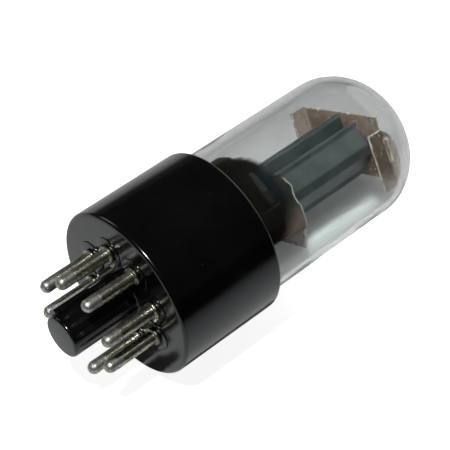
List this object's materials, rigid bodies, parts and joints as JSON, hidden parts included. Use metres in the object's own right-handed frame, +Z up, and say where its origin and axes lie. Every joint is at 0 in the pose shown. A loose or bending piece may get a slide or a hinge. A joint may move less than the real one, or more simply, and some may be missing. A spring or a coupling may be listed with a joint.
{
  "type": "vacuum tube",
  "caption": "Glass receiving tube with a domed bulb, two diodes between mica strips and a black octal base with round pins and a keyed post.",
  "frame": {"origin": "bottom centre of the box round the tube as it lies on its side", "axes": "+X along the tube's axis from the base to the dome, +Z up from the surface it lies on"},
  "size_m": [0.0776, 0.032, 0.0319],
  "materials": {
    "phenolic": "moulded black phenolic with a soft gloss",
    "cement": "baked basing cement",
    "glass": "clear soda glass",
    "mica": "split mica, browned",
    "carbonised": "carbonised nickel sheet",
    "bright_nickel": "drawn nickel",
    "tungsten": "alumina coated tungsten wire",
    "pin_nickel": "nickel plated brass, tarnished",
    "solder": "dull solder",
    "copper": "tinned copper wire"
  },
  "bodies": {
    "root": {"anode_back": "carbonised", "anode_front": "carbonised", "base": "phenolic", "base_cement": "cement", "bottom_mica": "mica", "cathode_back": "bright_nickel", "cathode_front": "bright_nickel", "exhaust_tube": "glass", "getter_pan": "bright_nickel", "getter_wire": "bright_nickel", "glass_bulb": "glass", "glass_stem": "glass", "heater_back": "tungsten", "heater_front": "tungsten", "inner_lead_1": "bright_nickel", "inner_lead_2": "bright_nickel", "inner_lead_3": "bright_nickel", "inner_lead_4": "bright_nickel", "inner_lead_5": "bright_nickel", "inner_lead_7": "bright_nickel", "inner_lead_8": "bright_nickel", "outer_lead_1": "copper", "outer_lead_2": "copper", "outer_lead_3": "copper", "outer_lead_4": "copper", "outer_lead_5": "copper", "outer_lead_7": "copper", "outer_lead_8": "copper", "pin_1": "pin_nickel", "pin_2": "pin_nickel", "pin_3": "pin_nickel", "pin_4": "pin_nickel", "pin_5": "pin_nickel", "pin_7": "pin_nickel", "pin_8": "pin_nickel", "shield": "carbonised", "solder_tip_1": "solder", "solder_tip_2": "solder", "solder_tip_3": "solder", "solder_tip_4": "solder", "solder_tip_5": "solder", "solder_tip_7": "solder", "solder_tip_8": "solder", "support_rod_left": "bright_nickel", "support_rod_right": "bright_nickel", "top_mica": "mica", "vane_back": "mica", "vane_front": "mica"}
  },
  "joints": []
}
